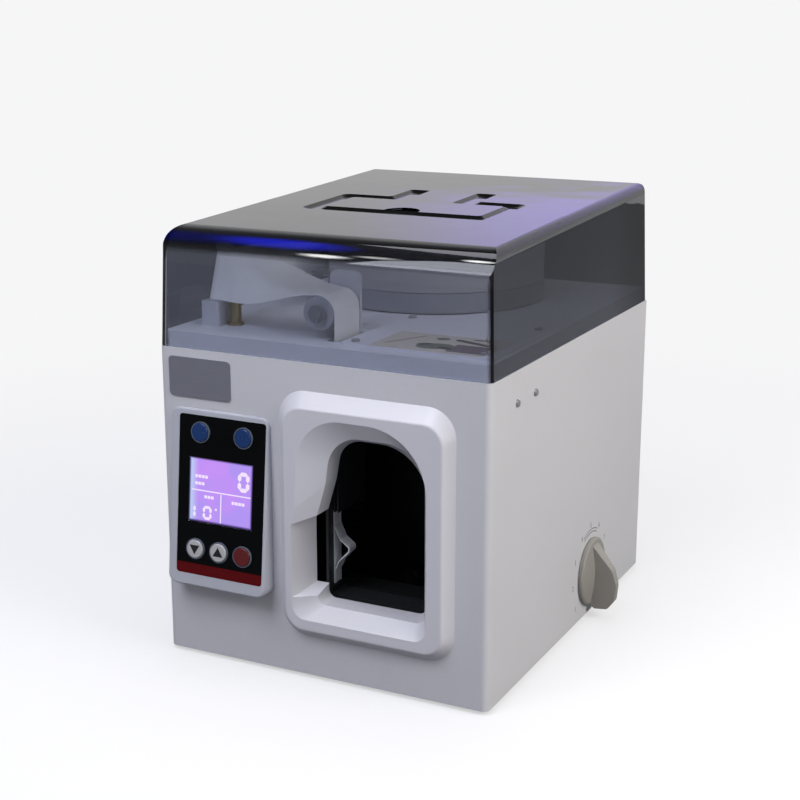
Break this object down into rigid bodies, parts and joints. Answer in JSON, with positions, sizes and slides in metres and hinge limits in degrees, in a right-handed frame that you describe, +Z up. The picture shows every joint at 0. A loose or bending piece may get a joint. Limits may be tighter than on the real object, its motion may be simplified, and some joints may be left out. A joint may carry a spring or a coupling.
{
  "type": "banknote strapping machine",
  "caption": "Desktop banknote strapping machine: paper tape from a reel under a smoked lid is looped round a stack held in the front slot, pressed, sealed and cut.",
  "frame": {"origin": "on the floor, at the centre of the footprint of the whole machine with its dial, control panel and hinges", "axes": "-Y is the operator side with the slot and the keys, +X the side with the heat dial, +Z up"},
  "size_m": [0.2833, 0.3466, 0.3303],
  "materials": {
    "casing_enamel": "light warm white powder coat",
    "slot_plastic": "moulded, fine texture",
    "panel_plastic": "moulded, fine texture",
    "deck_steel": "light grey powder coat",
    "smoked_acrylic": "tinted see-through, polished",
    "black_film": "printed polyester film",
    "key_blue": "moulded",
    "key_light": "moulded",
    "key_red": "moulded",
    "ring_plastic": "moulded",
    "lcd_panel": "liquid crystal display behind glass",
    "circuit_board": "solder mask",
    "badge_alloy": "brushed, bare",
    "zinc_steel": "zinc plated",
    "black_steel": "black oxide",
    "track_grey": "moulded nylon",
    "track_black": "moulded nylon",
    "bright_steel": "ground bright",
    "brass": "turned",
    "rubber": "matt",
    "roller_rubber": "ground rubber sleeve",
    "black_plastic": "moulded",
    "spool_plastic": "moulded",
    "core_card": "wound board",
    "tape_paper": "kraft strapping paper, white",
    "knob_plastic": "moulded",
    "motor_can": "drawn can",
    "transformer_iron": "laminated iron, varnished"
  },
  "bodies": {
    "casing": {"base_plate": "zinc_steel", "rubber_feet": "rubber", "main_cover": "casing_enamel", "rear_panel": "casing_enamel", "power_inlet": "black_plastic", "switch_frame": "black_plastic", "slot_frame": "slot_plastic", "badge_plate": "badge_alloy", "control_bezel": "panel_plastic", "control_overlay": "black_film", "key_rings": "ring_plastic", "lcd_module": "lcd_panel", "display_board": "circuit_board", "deck_tray": "deck_steel", "deck_cover_plate": "deck_steel", "hinge_brackets": "zinc_steel", "hinge_pins": "bright_steel", "reel_spindle": "bright_steel", "reel_cap": "black_plastic", "post_base": "deck_steel", "leaning_guide_post": "spool_plastic", "brass_guide_pin": "brass", "roller_bracket": "deck_steel", "guide_roller_axle": "black_steel", "paper_tape": "tape_paper", "tie_rods": "bright_steel", "mech_plate_front": "black_steel", "mech_plate_rear": "black_steel", "track_front_half": "track_grey", "track_rear_half": "track_black", "tape_guides": "zinc_steel", "note_spring": "bright_steel", "feed_motor": "motor_can", "press_block": "black_steel", "press_motor": "motor_can", "note_stop": "black_steel", "board_hardware": "zinc_steel", "main_board": "circuit_board", "transformer": "transformer_iron", "potentiometer": "zinc_steel", "casing_screws": "zinc_steel"},
    "lid": {"lid": "smoked_acrylic"},
    "reel": {"reel_base": "spool_plastic", "reel_core": "core_card", "tape_roll": "tape_paper"},
    "guide_roller": {"guide_roller": "spool_plastic"},
    "open_key": {"open_key": "key_blue"},
    "feed_key": {"feed_key": "key_blue"},
    "down_key": {"down_key": "key_light"},
    "up_key": {"up_key": "key_light"},
    "stop_key": {"stop_key": "key_red"},
    "power_rocker": {"power_rocker": "black_plastic"},
    "heat_dial": {"dial_knob": "knob_plastic"},
    "feed_roller": {"feed_roller": "roller_rubber"},
    "pinch_roller": {"pinch_roller": "roller_rubber"},
    "press_camshaft": {"camshaft": "bright_steel", "press_cams": "bright_steel"},
    "clamp_bar": {"clamp_bar": "bright_steel"},
    "heater_bar": {"heater_bar": "brass"},
    "cutter_bar": {"cutter_bar": "bright_steel"}
  },
  "joints": [
    {"name": "lid_hinge", "type": "hinge", "parent": "casing", "child": "lid", "pos_m": [-0.01175, 0.16917, 0.234], "axis": [-1, 0, 0], "range_deg": [0, 95]},
    {"name": "reel_spin", "type": "hinge", "parent": "casing", "child": "reel", "pos_m": [-0.02375, 0.05587, 0.262], "axis": [0, 0, 1], "continuous": true},
    {"name": "guide_roller_spin", "type": "hinge", "parent": "casing", "child": "guide_roller", "pos_m": [-0.02285, -0.11663, 0.264], "axis": [0, 1, 0], "continuous": true},
    {"name": "open_key_press", "type": "slide", "parent": "casing", "child": "open_key", "axis": [0, 0.9949, -0.1011], "range_m": [0, 0.0009], "stiffness_N_per_m": 600},
    {"name": "feed_key_press", "type": "slide", "parent": "casing", "child": "feed_key", "axis": [0, 0.9949, -0.1011], "range_m": [0, 0.0009], "stiffness_N_per_m": 600},
    {"name": "down_key_press", "type": "slide", "parent": "casing", "child": "down_key", "axis": [0, 0.9949, -0.1011], "range_m": [0, 0.0009], "stiffness_N_per_m": 600},
    {"name": "up_key_press", "type": "slide", "parent": "casing", "child": "up_key", "axis": [0, 0.9949, -0.1011], "range_m": [0, 0.0009], "stiffness_N_per_m": 600},
    {"name": "stop_key_press", "type": "slide", "parent": "casing", "child": "stop_key", "axis": [0, 0.9949, -0.1011], "range_m": [0, 0.0009], "stiffness_N_per_m": 600},
    {"name": "power_rocker_tilt", "type": "hinge", "parent": "casing", "child": "power_rocker", "pos_m": [-0.05175, 0.16287, 0.037], "axis": [0, 0, -1], "range_deg": [0, 14]},
    {"name": "heat_dial_turn", "type": "hinge", "parent": "casing", "child": "heat_dial", "pos_m": [0.11825, 0.04337, 0.0375], "axis": [1, 0, 0], "range_deg": [-135, 135]},
    {"name": "feed_roller_spin", "type": "hinge", "parent": "casing", "child": "feed_roller", "pos_m": [-0.00165, -0.11663, 0.208], "axis": [0, 1, 0], "continuous": true},
    {"name": "pinch_roller_spin", "type": "hinge", "parent": "casing", "child": "pinch_roller", "pos_m": [-0.01765, -0.11663, 0.208], "axis": [0, 1, 0], "continuous": true},
    {"name": "press_cam_turn", "type": "hinge", "parent": "casing", "child": "press_camshaft", "pos_m": [-0.06975, -0.11113, 0.093], "axis": [0, 0, 1], "range_deg": [0, 150]},
    {"name": "clamp_bar_push", "type": "slide", "parent": "casing", "child": "clamp_bar", "axis": [1, 0, 0], "range_m": [0, 0.006]},
    {"name": "heater_bar_push", "type": "slide", "parent": "casing", "child": "heater_bar", "axis": [1, 0, 0], "range_m": [0, 0.006]},
    {"name": "cutter_bar_push", "type": "slide", "parent": "casing", "child": "cutter_bar", "axis": [1, 0, 0], "range_m": [0, 0.006]}
  ],
  "couplings": [
    {"joint": "pinch_roller_spin", "follows": "feed_roller_spin", "ratio": -1.1429},
    {"joint": "clamp_bar_push", "follows": "press_cam_turn", "m_per_rad": 0.0022918},
    {"joint": "heater_bar_push", "follows": "press_cam_turn", "m_per_rad": 0.0022918},
    {"joint": "cutter_bar_push", "follows": "press_cam_turn", "m_per_rad": 0.0022918}
  ]
}
